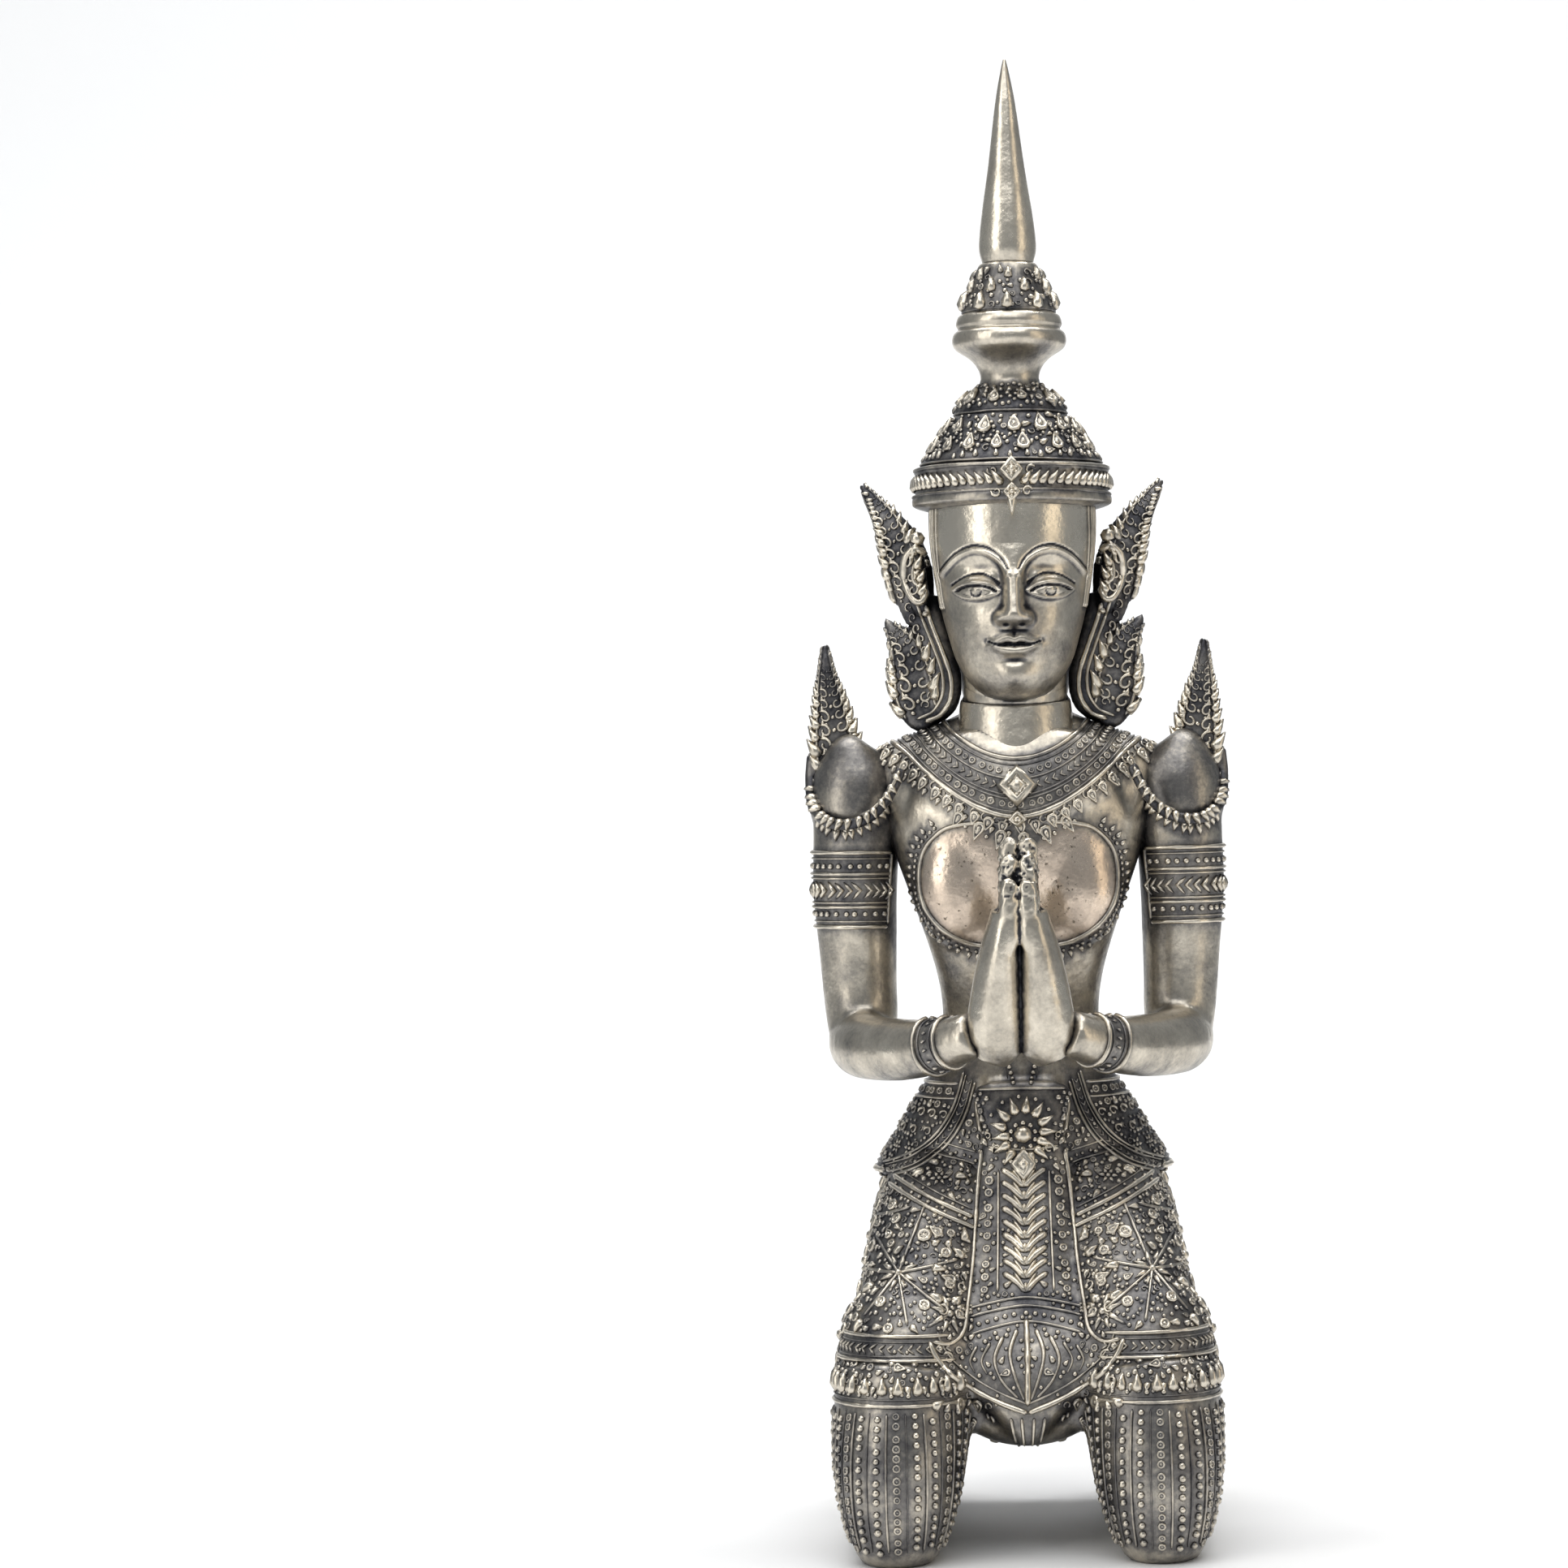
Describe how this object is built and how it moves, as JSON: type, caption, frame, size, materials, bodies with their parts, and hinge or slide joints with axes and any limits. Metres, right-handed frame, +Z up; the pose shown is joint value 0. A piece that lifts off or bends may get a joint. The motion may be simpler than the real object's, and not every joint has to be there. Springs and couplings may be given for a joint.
{
  "type": "kneeling thepphanom angel statue",
  "caption": "Kneeling Thai guardian angel with palms together, tiered crown with tall spire, flame ornaments and patterned cloth, cast in silvered bronze.",
  "frame": {"origin": "middle of the figure's box in X and Y, on the ground plane that its knees, shins and toes rest on", "axes": "+Z up along the crown's spire; the figure faces -Y; +X is on the figure's left hand side, the viewer's right"},
  "size_m": [0.1158, 0.1358, 0.4001],
  "materials": {
    "silvered_bronze": "antique silver plate on cast bronze, dark in the recesses and rubbed bright on the raised work"
  },
  "bodies": {
    "root": {"figure": "silvered_bronze"}
  },
  "joints": []
}
